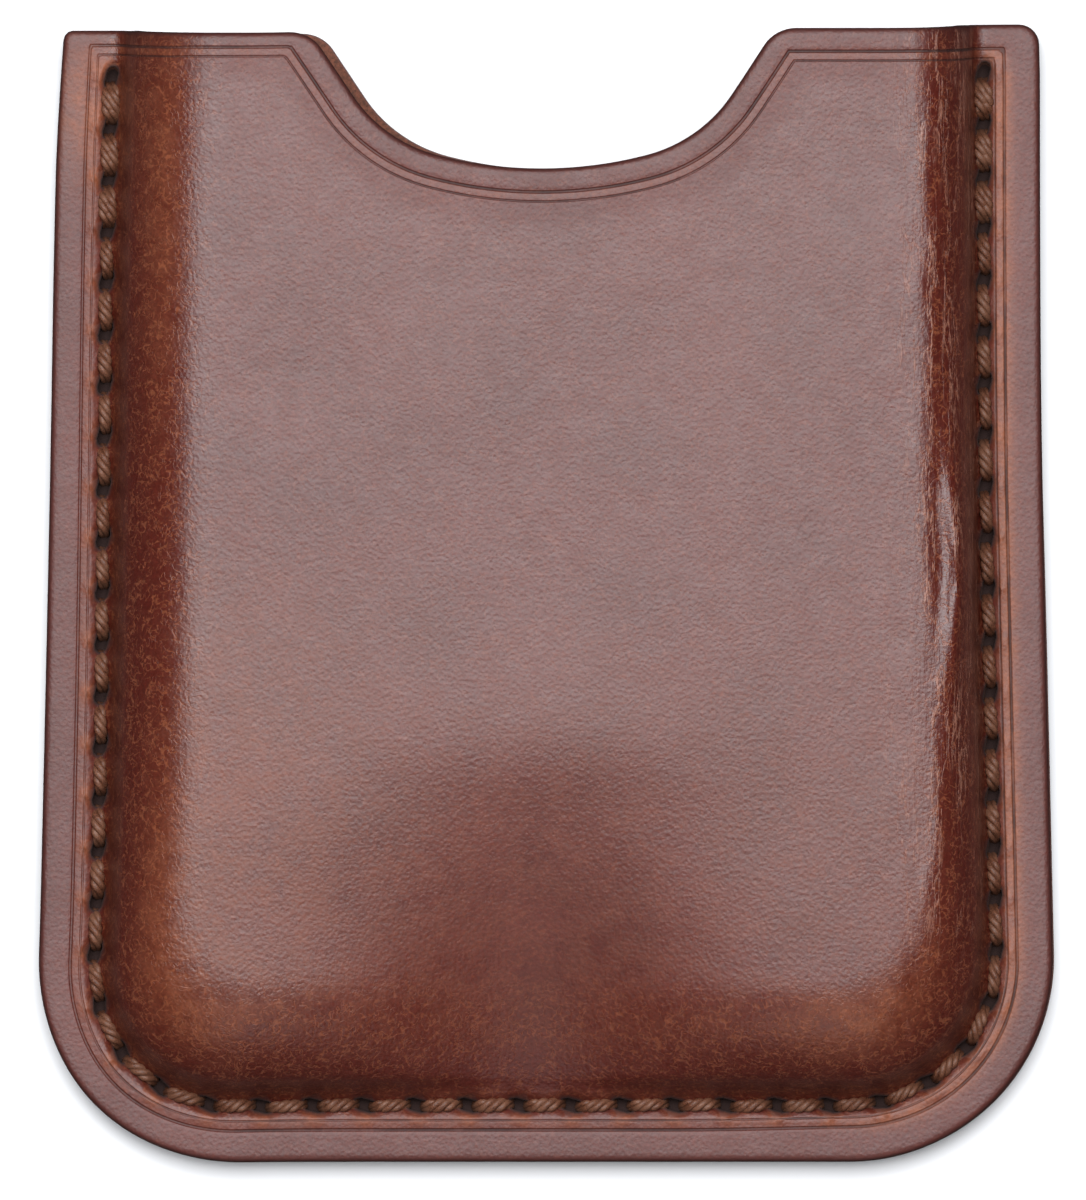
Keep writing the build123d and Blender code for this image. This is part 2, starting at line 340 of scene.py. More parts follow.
class Plan:
    """A panel's plan: points, triangles, and where each point lies on the case."""

    # how much nearer to the mouth the creases run on the left
    CREASE_LIFT = 0.7

    def __init__(self, size, seam, shift, cell, wall_rows):
        self.size, self.wall_rows = size, wall_rows
        depth = size["notch_depth"]
        self.edge_line = outline(size, 0.42, shift, size["notch_shoulder"], depth)
        raised = dict(size, case_length=size["case_length"] + 2 * self.CREASE_LIFT)
        self.notch_line = outline(raised, 0.6, shift, 0.05, depth + self.CREASE_LIFT)
        self.seam_line = seam_path(size, 0.2)
        self.seam_length = float(np.hypot(*np.diff(self.seam_line, axis=0).T).sum())
        steps = np.linspace(0, self.seam_length, seam.stitches + 1)
        self.holes, ways = along_line(self.seam_line, steps)
        cosine, sine = math.cos(-seam.slant), math.sin(-seam.slant)
        x, y = ways.T
        self.hole_ways = np.stack([x * cosine - y * sine, x * sine + y * cosine], 1)
        self.open_holes = len(wall_rows) > 1
        self.triangulate(cell)

    def hole_loop(self, number, grow, count):
        """Points round one stitch hole, grown outwards."""
        half = (self.size["hole_length"] - self.size["hole_width"]) / 2
        radius = self.size["hole_width"] / 2 + grow
        way = self.hole_ways[number]
        side = np.array([-way[1], way[0]])
        points = []
        for end, start in ((1, -0.5), (-1, 0.5)):
            for angle in (start + np.arange(count) / (count - 1)) * math.pi:
                spot = way * (end * half + radius * math.cos(angle)) + side * radius * math.sin(angle)
                points.append(self.holes[number] + spot)
        return np.array(points)

    def hole_distance(self, xy):
        """Distance from the nearest stitch hole's rim, negative inside it."""
        near = nearest(xy, self.holes)
        gap, way = xy - self.holes[near], self.hole_ways[near]
        half = (self.size["hole_length"] - self.size["hole_width"]) / 2
        along = np.abs((gap * way).sum(1))
        across = gap[:, 1] * way[:, 0] - gap[:, 0] * way[:, 1]
        return np.hypot(np.maximum(along - half, 0), across) - self.size["hole_width"] / 2

    def in_seam(self, xy):
        """True in the band that the seam's own rows of points fill."""
        inset = inset_from(self.size, xy, 0, 0, self.size["foot_corner"])
        below = self.size["case_length"] / 2 - xy[:, 1]
        beyond = inset - self.size["seam_inset"]
        band = (beyond > -1.3) & (beyond < self.wall_rows[-1] + 0.3)
        return band & (below > self.size["seam_start"] - 1.2)

    def triangulate(self, cell):
        """Rows along the edge, the seam and the holes, then an even spread between them."""
        size, edge = self.size, self.edge_line
        loops = [edge] + [self.hole_loop(i, 0, 5) for i in range(len(self.holes))]
        spread = []
        before, after = np.roll(edge, 1, axis=0), np.roll(edge, -1, axis=0)
        way = after - before
        inward = np.stack([-way[:, 1], way[:, 0]], 1) / np.hypot(way[:, 0], way[:, 1])[:, None]
        for offset in EDGE_ROWS:
            row = edge + inward * offset
            row = row[follow(row, edge, True)[0] > offset - 0.02]
            spread.append(row[~self.in_seam(row)])
        steps = np.linspace(0, self.seam_length, round(self.seam_length / 0.42))
        middle, ways = along_line(self.seam_line, steps)
        left = np.stack([-ways[:, 1], ways[:, 0]], 1)
        for offset in (*SEAM_ROWS, *self.wall_rows):
            row = middle + left * offset
            row = row[self.hole_distance(row) > 0.62]
            spread.append(row[follow(row, self.seam_line, False)[0] > abs(offset) - 0.03])
        for number in range(len(self.holes)):
            spread += [self.hole_loop(number, grow, count) for grow, count in HOLE_ROWS]
        high, wide = size["case_length"] / 2, size["foot_width"] / 2
        for number, y in enumerate(np.arange(-high, high, cell * 0.87)):
            xs = np.arange(-wide + (number % 2) * cell / 2, wide, cell)
            row = np.stack([xs, np.full(len(xs), y)], 1)
            inset = inset_from(size, row, 0, 0, size["foot_corner"])
            row = row[(inset > 3.4) & ~self.in_seam(row)]
            if len(row):
                distance, _, side = follow(row, edge, True)
                row = row[(distance > 3.4) & (side > 0)]
            spread.append(row)
        points, edges = [], []
        for loop in loops:
            first = len(points)
            points += [Vector(p) for p in loop]
            edges += [(first + i, first + (i + 1) % len(loop)) for i in range(len(loop))]
        for row in spread:
            points += [Vector(p) for p in row]
        found = delaunay_2d_cdt(points, edges, [], 0, 1e-5, False)
        self.xy = np.array([p[:] for p in found[0]])
        faces = np.array(found[2])
        middle = self.xy[faces].mean(1)
        distance, _, side = follow(middle, edge, True)
        a, b, c = (self.xy[faces[:, k]] for k in range(3))
        turn = (b - a)[:, 0] * (c - a)[:, 1] - (b - a)[:, 1] * (c - a)[:, 0]
        solid = (self.hole_distance(middle) > -0.001) | (not self.open_holes)
        keep = (side > 0) & solid & (np.abs(turn) > 1e-4)
        faces, turn = faces[keep], turn[keep]
        faces[turn < 0] = faces[turn < 0][:, ::-1]
        wanted = loop_area(edge) - self.open_holes * sum(loop_area(loop) for loop in loops[1:])
        if abs(np.abs(turn).sum() / 2 - wanted) > 0.5:
            raise RuntimeError("the plan's triangles don't fill its outline")
        used = np.unique(faces)
        renumber = np.zeros(len(self.xy), int)
        renumber[used] = np.arange(len(used))
        self.xy, self.faces = self.xy[used], renumber[faces]
        self.measure()

    def measure(self):
        """Works out the distances that heights and finishes follow."""
        size, xy = self.size, self.xy
        self.edge = follow(xy, self.edge_line, True)[0]
        self.inset = inset_from(size, xy, 0, 0, size["foot_corner"])
        self.below = size["case_length"] / 2 - xy[:, 1]
        notch = follow(xy, self.notch_line, True)[0]
        sides = self.inset - 0.65 - 0.3 * rise(xy[:, 0], 10, 30)
        mouth = self.below + self.CREASE_LIFT * rise(-xy[:, 0], 0, 10)
        square = np.minimum(notch, mouth)
        self.rim = np.minimum(np.where(self.inset > 4.5, square, mouth), sides)
        self.hole = np.maximum(self.hole_distance(xy), 0)
        gap, self.seam_along, side = follow(xy, self.seam_line, False)
        self.seam_across = gap * side

    def wave(self):
        """1 at each stitch hole and -1 half way along each stitch."""
        return np.cos(2 * math.pi * self.seam_along / self.seam_length * (len(self.holes) - 1))

    def lump(self):
        """1 at each stitch hole, falling off steeply to 0 between them."""
        return ((1 + self.wave()) / 2) ** 3

    def edge_drop(self):
        """How far the rounded edge falls below the face."""
        turn = self.size["edge_round"]
        near = np.clip(turn - self.edge, 0, turn)
        return turn - np.sqrt(turn**2 - near**2)

    def moulding(self, base, depth, offset):
        """Height of one face of the moulded pocket, and how far up its wall each point is."""
        size, xy = self.size, self.xy
        start = size["seam_inset"] + 0.6 + offset
        to_right = 0.5 + 0.5 * np.clip(xy[:, 0] / 20, -1, 1)
        to_right = to_right * rise(xy[:, 1], -36, -20)
        foot = inset_from(size, xy, start, start, size["foot_corner"] - start)
        side_run, foot_run = size["wall_run"] + 0.9, size["foot_wall_run"] + 0.4
        crown = inset_from(size, xy, start + side_run, start + foot_run, size["crown_corner"] - offset)
        crown = crown + 2.5 * to_right
        climb = foot / np.maximum(foot - np.minimum(crown, 0), 0.01)
        climb = np.where(crown > 0, 1 + crown / 8, climb)
        rounded_wall = (1 - (1 - np.clip(climb / 1.14, 0, 1)) ** 2.3) ** 0.66
        rounded_wall = rounded_wall * rise(climb, -0.03, 0.20)

        # the middle of the foot is drawn down in one long slope
        ramp = np.clip((xy[:, 1] + size["case_length"] / 2 - start) / 31.0, 0, 1)
        ramp = 1 - (1 - ramp) ** 1.75
        middle = 0.93 * bump(xy[:, 0] + 1, 13.0) * rise(-xy[:, 1], 4, 18)
        eased = rounded_wall + (ramp - rounded_wall) * middle * (rounded_wall > 0)
        return base + depth * eased, climb, eased


def make_sheet(name, plan, top, bottom, attributes):
    """A closed leather sheet from a plan, the heights of its two faces, and finish attributes."""
    count = len(plan.xy)
    upper = np.column_stack([plan.xy, top])
    lower = np.column_stack([plan.xy, bottom])
    verts = hand_cut(np.concatenate([upper, lower])) * MM
    faces = [tuple(f) for f in plan.faces.tolist()]
    faces += [(c + count, b + count, a + count) for a, b, c in plan.faces.tolist()]
    directed = {(f[i], f[(i + 1) % 3]) for f in plan.faces.tolist() for i in range(3)}
    for a, b in sorted(directed):
        if (b, a) not in directed:
            faces.append((a, a + count, b + count, b))
    mesh = bpy.data.meshes.new(name)
    mesh.from_pydata(verts.tolist(), [], faces)
    mesh.shade_smooth()
    mesh.set_sharp_from_angle(angle=math.radians(55))
    for label, (on_top, on_bottom) in attributes.items():
        layer = mesh.attributes.new(label, "FLOAT", "POINT")
        values = np.concatenate([np.broadcast_to(on_top, count), np.broadcast_to(on_bottom, count)])
        layer.data.foreach_set("value", values.astype(np.float32))
    mesh.validate()
    mesh.update()
    piece = bpy.data.objects.new(name, mesh)
    bpy.context.scene.collection.objects.link(piece)
    return piece


def settle(piece, slot_name, *nodes):
    """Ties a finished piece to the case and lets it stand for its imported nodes."""
    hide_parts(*nodes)
    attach(piece, "root")


# ---- finishes


class Tree:
    """Short ways to add and join nodes in a tree."""

    def __init__(self, tree):
        self.tree = tree

    def add(self, kind, inputs=None, **settings):
        """A new node with its settings, and values or links for its inputs."""
        node = self.tree.nodes.new(kind)
        for key, value in settings.items():
            setattr(node, key, value)
        for key, value in (inputs or {}).items():
            self.give(node.inputs[key], value)
        return node

    def give(self, socket, value):
        """Links a socket to another, or sets its value."""
        if isinstance(value, bpy.types.NodeSocket):
            self.tree.links.new(value, socket)
        else:
            socket.default_value = value

    def math(self, operation, *values, clamp=False):
        """Arithmetic on numbers."""
        inputs = dict(enumerate(values))
        return self.add("ShaderNodeMath", inputs, operation=operation, use_clamp=clamp).outputs[0]

    def times(self, first, second, clamp=False):
        """The product of two numbers."""
        return self.math("MULTIPLY", first, second, clamp=clamp)

    def total(self, first, *parts, clamp=False):
        """A number with parts added to it, each given as (value, share)."""
        for i, (value, share) in enumerate(parts):
            ended = clamp and i == len(parts) - 1
            first = self.math("ADD", first, self.times(value, share), clamp=ended)
        return first

    def vector(self, operation, *values):
        """Arithmetic on vectors."""
        inputs = dict(enumerate(values))
        return self.add("ShaderNodeVectorMath", inputs, operation=operation).outputs[0]

    def scaled(self, vector, factor):
        """A vector made longer."""
        return self.add("ShaderNodeVectorMath", {0: vector, "Scale": factor}, operation="SCALE").outputs[0]

    def mix(self, factor, first, second, blend="MIX"):
        """Two colours mixed by a factor."""
        inputs = {0: factor, 6: first, 7: second}
        node = self.add("ShaderNodeMix", inputs, data_type="RGBA", blend_type=blend)
        return node.outputs[2]

    def span(self, value, low, high, to_low=0.0, to_high=1.0):
        """A smooth step between two values."""
        inputs = {0: value, 1: low, 2: high, 3: to_low, 4: to_high}
        return self.add("ShaderNodeMapRange", inputs, interpolation_type="SMOOTHSTEP").outputs[0]

    def noise(self, place, scale, detail=3.0, roughness=0.5):
        """Noise with so many bumps to the millimetre."""
        inputs = {"Vector": place, "Scale": scale, "Detail": detail, "Roughness": roughness}
        return self.add("ShaderNodeTexNoise", inputs).outputs["Fac"]

    def off(self, value, middle, low, high):
        """1 near a middle value, falling to 0 at high off it on either side."""
        away = self.math("ABSOLUTE", self.math("SUBTRACT", value, middle))
        return self.span(away, low, high, 1.0, 0.0)

    def ridge(self, value, width):
        """Thin lines where a noise crosses its middle value."""
        return self.off(value, 0.5, 0.0, width)

    def value_of(self, name):
        """A finish attribute stored on the mesh."""
        return self.add("ShaderNodeAttribute", attribute_name=name).outputs["Fac"]

    def place(self, scale=(1, 1, 1), turn=0.0):
        """Object coordinates in millimetres, stretched and turned."""
        spot = self.add("ShaderNodeTexCoord").outputs["Object"]
        inputs = {"Vector": spot, "Scale": [s / MM for s in scale], "Rotation": (0, 0, turn)}
        return self.add("ShaderNodeMapping", inputs).outputs[0]

    def finish(self, shader, colour, height, distance):
        """Joins a colour and a relief to the main shader."""
        relief = self.add("ShaderNodeBump", {"Height": height, "Distance": distance, "Strength": 1.0})
        self.give(shader.inputs["Base Color"], colour)
        self.give(shader.inputs["Normal"], relief.outputs[0])


def new_material(name):
    """An empty material with its output and a main shader."""
    material = bpy.data.materials.new(name)
    material.use_nodes = True
    material.node_tree.nodes.clear()
    tree = Tree(material.node_tree)
    shader = tree.add("ShaderNodeBsdfPrincipled")
    tree.add("ShaderNodeOutputMaterial", {"Surface": shader.outputs[0]})
    return material, tree, shader


def rgba(value):
    """A solid colour."""
    return (*value, 1.0)


# fixed tints of the leather and the thread
VEIN_TINT = (0.24, 0.10, 0.065)
CREASE_SHADE_TINT = (0.018, 0.004, 0.003)
FIBRE_TINT = (0.07, 0.026, 0.015)
HOLE_SHADE_TINT = (0.014, 0.0038, 0.0025)
WAX_TINT = (0.17, 0.080, 0.048)
DIVE_SHADE_TINT = (0.010, 0.005, 0.004)


def leather_finish(name, colours):
    """Waxed pull-up leather: grain, veins, worn spots, creases, burnished edges, flesh side, and painted
    shade on the steep walls, in the crease grooves and in the stitch holes.
    """
    material, tree, shader = new_material(name)
    size = sizes()
    spot = tree.place()
    broad = tree.noise(spot, 0.10, 4.0, 0.6)
    blotch = tree.noise(spot, 0.55, 5.0, 0.62)
    fibre = tree.noise(spot, 3.2, 4.0, 0.7)
    worn, flesh = tree.value_of("worn"), tree.value_of("flesh")
    rim, edge = tree.value_of("rim"), tree.value_of("burnished")
    hole, veined, wall = tree.value_of("hole"), tree.value_of("veined"), tree.value_of("wall")

    # short hair-like lines where the wax has cracked open
    sway = tree.add("ShaderNodeTexNoise", {"Vector": spot, "Scale": 0.8, "Detail": 2.0})
    bent = tree.vector("ADD", spot, sway.outputs["Color"])
    hairs = tree.ridge(tree.noise(bent, 0.85, 1.5), 0.036)
    hairs = tree.times(hairs, tree.span(tree.noise(spot, 1.7, 2.0), 0.38, 0.56))
    more = tree.ridge(tree.noise(bent, 1.9, 1.5), 0.050)
    more = tree.times(more, tree.span(tree.noise(bent, 1.1, 2.0), 0.42, 0.58))
    cracked = tree.math("ADD", tree.times(wall, 0.50), 0.12)
    hairs = tree.times(tree.math("MAXIMUM", hairs, more), cracked)

    # long veins that run down the side where the leather was stretched
    slanted = tree.place((1.0, 0.14, 1.0), math.radians(-4))
    strands = tree.noise(slanted, 0.42, 5.0, 0.62)
    finer = tree.noise(slanted, 0.9, 4.0, 0.6)
    vein = tree.math("MAXIMUM", tree.ridge(strands, 0.016), tree.ridge(finer, 0.018))
    broken = tree.span(tree.noise(slanted, 0.6, 2.0), 0.40, 0.56)
    vein = tree.times(vein, tree.times(veined, broken))

    # pebbled grain
    inputs = {"Vector": spot, "Scale": 3.3, "Smoothness": 0.8}
    pebble = tree.add("ShaderNodeTexVoronoi", inputs, feature="SMOOTH_F1").outputs["Distance"]

    # dye with random darker patches, painted shade that darkens the steep walls, and opened out where it is
    # worn
    dye = tree.mix(tree.span(broad, 0.3, 0.75), rgba(colours.leather), rgba(colours.leather_deep_and_wall_shade))
    dye = tree.mix(tree.times(wall, 0.9), dye, rgba(colours.leather_deep_and_wall_shade))
    stretched = tree.times(worn, tree.span(blotch, 0.25, 0.7, 0.35, 1.0), clamp=True)
    dye = tree.mix(stretched, dye, rgba(colours.pull_up))
    dye = tree.mix(hairs, dye, rgba(colours.pull_up))
    dye = tree.mix(tree.times(vein, 0.9), dye, rgba(VEIN_TINT))
    speck = tree.span(fibre, 0.3, 0.75, 0.80, 1.20)
    grey = tree.add("ShaderNodeCombineColor", {0: speck, 1: speck, 2: speck}).outputs[0]
    dye = tree.mix(1.0, dye, grey, "MULTIPLY")

    # the two creases: a deep outer one and a finer inner one, with painted shade along their grooves
    outer = tree.off(rim, size["crease_inset"], 0.04, 0.17)
    inner = tree.off(rim, size["crease_inset"] + size["crease_gap"], 0.02, 0.13)
    inner = tree.times(inner, 0.85)
    uneven = tree.span(tree.noise(spot, 0.22), 0.38, 0.60, 0.55, 1.0)
    pressed = tree.times(tree.value_of("pressed"), uneven)
    creased = tree.times(tree.math("MAXIMUM", outer, inner), pressed)
    # painted shade: the crease grooves are coloured dark
    dye = tree.mix(tree.times(creased, 0.85), dye, rgba(CREASE_SHADE_TINT))
    dye = tree.mix(edge, dye, rgba(colours.edge_dye))
    rough_side = tree.mix(tree.span(fibre, 0.3, 0.7), rgba(colours.flesh), rgba(FIBRE_TINT))
    dye = tree.mix(flesh, dye, rough_side)
    # painted shade: the stitch holes' rims and walls are coloured near black
    dye = tree.mix(hole, dye, rgba(HOLE_SHADE_TINT))

    rough = tree.total(tree.span(blotch, 0.3, 0.7, 0.43, 0.48), (stretched, 0.05))
    rough = tree.math("ADD", rough, tree.span(rim, 3.4, 5.5, 0.06, 0.0))
    rough = tree.total(rough, (wall, -0.11), (hole, 0.6), (flesh, 0.4), (creased, 0.2), clamp=True)
    tree.give(shader.inputs["Roughness"], rough)

    height = tree.total(
        tree.times(pebble, 0.030),
        (fibre, 0.028),
        (blotch, 0.006),
        (vein, 0.02),
        (tree.times(strands, veined), 0.22),
        (hairs, -0.02),
        (outer, -0.07),
        (inner, -0.06),
        (tree.times(flesh, fibre), 0.12),
    )
    tree.finish(shader, dye, height, MM)
    shader.inputs["IOR"].default_value = 1.5
    return material


def thread_finish(name, colours):
    """Waxed thread: mottled fibres and waxy patches, with painted shade on the ends that dive into the
    holes.
    """
    material, tree, shader = new_material(name)
    spot = tree.place()
    fibre = tree.noise(spot, 9.0, 4.0, 0.6)
    wax = tree.noise(spot, 0.8, 2.0)
    tint = tree.mix(tree.span(fibre, 0.3, 0.7), rgba(colours.thread_dark), rgba(colours.thread))
    tint = tree.mix(tree.span(wax, 0.35, 0.7, 0.0, 0.5), tint, rgba(WAX_TINT))
    # painted shade: the ends of each stitch, down in the holes, are coloured near black
    tint = tree.mix(tree.value_of("deep"), tint, rgba(DIVE_SHADE_TINT))
    tree.finish(shader, tint, fibre, 0.04 * MM)
    shader.inputs["Roughness"].default_value = 0.45
    shader.inputs["Specular IOR Level"].default_value = 0.32
    return material


def cached(name, maker):
    """A material by name, made once."""
    found = bpy.data.materials.get(name)
    return found or maker(name, bpy.context.scene.card_case_colours)


# ---- pieces


class CARDCASE_OT_front_panel(bpy.types.Operator):
    """Make the front panel: a flat flange round a moulded pocket that is open at the mouth"""

    bl_idname = "cardcase.front_panel"
    bl_label = "Front panel"

    def execute(self, context):
        size, seam = sizes(), context.scene.card_case_seam
        rows = (1.1, 1.4, 1.7, 2.0, 2.3, 2.65, 3.0, 3.4, 3.8, 4.3, 4.8, 5.4, 6.0, 6.7)
        plan = Plan(size, seam, -0.45, 0.82, rows)
        xy = plan.xy
        x, y = xy.T
        flange = size["back_thickness"] + size["front_thickness"]
        top, climb, eased = plan.moulding(flange, size["pocket_depth"], 0)
        inside, _, inner_eased = plan.moulding(size["back_thickness"], size["pocket_depth"], 0.85)
        sink = 0.9 * np.clip((-4 - y) / 30, 0, 1.1) ** 1.8 + 0.12 * np.abs(x / 28) ** 3
        top = top - sink * eased
        inside = inside - sink * inner_eased

        # seam: a shallow channel, a pull-in at each hole and a swelling beside it
        on_seam = (plan.below > 1.5) * 1.0
        ends = rise(plan.below, 2.2, 4.0)
        top = top - 0.50 * bump(plan.seam_across, 0.60) * ends
        top = top - 0.30 * bump(plan.hole, 0.36) * on_seam
        top = top + 0.30 * bump(plan.seam_across + 1.05, 0.40) * (0.2 + 0.8 * plan.lump()) * ends
        top = top + 0.13 * bump(plan.seam_across - 0.85, 0.30) * (0.6 - 0.4 * plan.wave()) * ends

        # outer crease and the rounded edge
        top = top - 0.07 * bump(plan.rim - size["crease_inset"], 0.12)
        top = top - plan.edge_drop()

        # gentle unevenness of the moulding, and the puckers on the right-hand wall
        top = top + 0.07 * soft_noise(xy, 9.0, 3) * eased + 0.012 * soft_noise(xy, 2.6, 5)
        top = top + self.puckers(xy, climb)
        burnished = np.maximum(bump(plan.edge, 0.32), 0.32 * bump(plan.edge, 0.95))
        # the hole mask places painted shade in the stitch holes and makes them rougher
        hole = bump(plan.hole, 0.16) * on_seam
        veined = rise(x, 26, 32) * rise(climb, -0.15, 0.1) * rise(y, -33, -22)
        attributes = {
            "rim": (plan.rim, 9.0),
            "burnished": (burnished, bump(plan.edge, 0.1)),
            "flesh": (0.0, 1 - bump(plan.edge, 0.1)),
            "hole": (hole, hole),
            "worn": (self.worn(plan, climb), 0.0),
            "pressed": (1 - 0.65 * rise(-x, 34, 37), 1.0),
            # the wall mask darkens the walls with painted shade and places the wax cracks on them
            "wall": (self.walls(xy, climb), 0.0),
            "veined": (veined, 0.0),
        }
        piece = make_sheet("front_panel_leather", plan, top, inside, attributes)
        piece.data.materials.append(cached("moulded_leather", leather_finish))
        settle(piece, "front_leather", "front_panel")
        return {"FINISHED"}

    @staticmethod
    def walls(xy, climb):
        """1 on the steep walls, fading over the crest and along the smooth middle of the foot: the mask for
        the painted wall shade and the wax cracks.
        """
        x, y = xy.T
        smooth = bump(x, 17) * rise(-y, 18, 30)
        return rise(climb, -0.25, -0.05) * (1 - 0.85 * rise(climb, 0.7, 1.3)) * (1 - 0.5 * smooth)

    @staticmethod
    def puckers(xy, climb):
        """Two soft folds where the wall was drawn in, and the small wrinkles beside them."""
        x, y = xy.T
        centre = 33.7 + 0.06 * (y - 2) * np.sign(2 - y)
        lens = bump(y - 2, 9.5)
        fold = 1.9 * bump(x - centre, 1.05) - 0.5 * bump(x - centre - 1.7, 0.6)
        fold = fold - 0.25 * bump(x - centre + 1.6, 0.8)
        small = 0.10 * soft_noise(np.stack([x * 2.2, y * 0.45], 1), 1.6, 11)
        side = rise(x, 25, 30) * rise(climb, 0.0, 0.3)
        return fold * lens + small * side

    @staticmethod
    def worn(plan, climb):
        """Where the wax is stretched thin: crests, the lower corners, and beside the holes."""
        x, y = plan.xy.T
        crest = bump(climb - 0.60, 0.30)
        low_left = 0.50 * bump(x + 29.5, 5.0) * bump(y + 27, 13) * crest
        low_right = bump(x - 25, 5) * bump(y + 31, 6) * crest
        top_left = 0.40 * bump(x + 30.5, 2.5) * bump(y - 33, 18) * bump(climb - 0.5, 0.35)
        foot = 0.12 * bump(y + 35, 5) * crest
        beside = 0.95 * bump(plan.seam_across + 1.1, 0.50) * (0.2 + 0.8 * plan.lump())
        beside = beside + 0.85 * bump(plan.seam_across + 1.7, 0.7) * rise(x, 20, 34)
        beside = beside + 0.15 * bump(plan.seam_across - 0.95, 0.35)
        beside = beside * rise(plan.below, 1.0, 3.0)
        between = 0.25 * bump(plan.rim - 2.3, 0.3)
        top_corner = 0.8 * bump(x + 37.5, 3) * bump(y - 40, 5)
        warm = 0.22 * rise(-x, 4, 30) * rise(-y, -14, 14) * rise(climb, 0.5, 1.1)
        warm = warm + 0.12 * rise(-y, -6, 20) * rise(climb, 0.5, 1.1)
        total = low_left + 0.8 * low_right + top_left + foot + beside + between + top_corner + warm
        return np.clip(total + 0.06, 0, 1)


class CARDCASE_OT_back_panel(bpy.types.Operator):
    """Make the flat back panel, with the channel that takes the thread flush with its face"""

    bl_idname = "cardcase.back_panel"
    bl_label = "Back panel"

    def execute(self, context):
        size, seam = sizes(), context.scene.card_case_seam
        plan = Plan(size, seam, 0.45, 1.6, (1.1,))
        top = np.full(len(plan.xy), size["back_thickness"])
        ends = rise(plan.below, 2.6, 3.6)
        bottom = 0.86 * rise(0.95 - np.abs(plan.seam_across), 0, 0.35) * ends
        bottom = bottom + 0.09 * bump(plan.rim - size["crease_inset"], 0.13)
        bottom = bottom + plan.edge_drop()
        burnished = bump(plan.edge, 0.32)
        # the hole mask places painted shade in the stitch holes and makes them rougher
        hole = bump(plan.hole, 0.16)
        beside = 0.5 * bump(np.abs(plan.seam_across) - 1.1, 0.4) * (0.5 + 0.5 * plan.wave())
        attributes = {
            "rim": (9.0, plan.rim),
            "burnished": (bump(plan.edge, 0.1), burnished),
            "flesh": (1 - bump(plan.edge, 0.1), 0.0),
            "hole": (hole, hole),
            "worn": (0.0, np.clip(beside + 0.05, 0, 1)),
            "pressed": (0.0, 1.0),
            "veined": (0.0, 0.0),
            "wall": (0.0, 0.15),
        }
        # cut a little wide of the front at the lower right, and shorter at the mouth
        x, y = plan.xy.T
        x += 0.12 * rise(x, 24, 40) * rise(-y, -26, 8)
        y -= 0.30 * rise(y, 30, 45)
        piece = make_sheet("back_panel_leather", plan, top, bottom, attributes)
        piece.data.materials.append(cached("moulded_leather", leather_finish))
        settle(piece, "back_leather", "back_panel")
        return {"FINISHED"}


# ---- stitches


# one stitch before it is stretched between its two holes, in metres
STITCH_LENGTH = 0.0034
STITCH_ARCH = 0.00012
PLIES = 3
# how far the doubled stitches at the ends lie apart, and how much higher the upper ones are
LOWER_ASIDE, UPPER_ASIDE, UPPER_LIFT = -0.00024, 0.00026, 0.00008


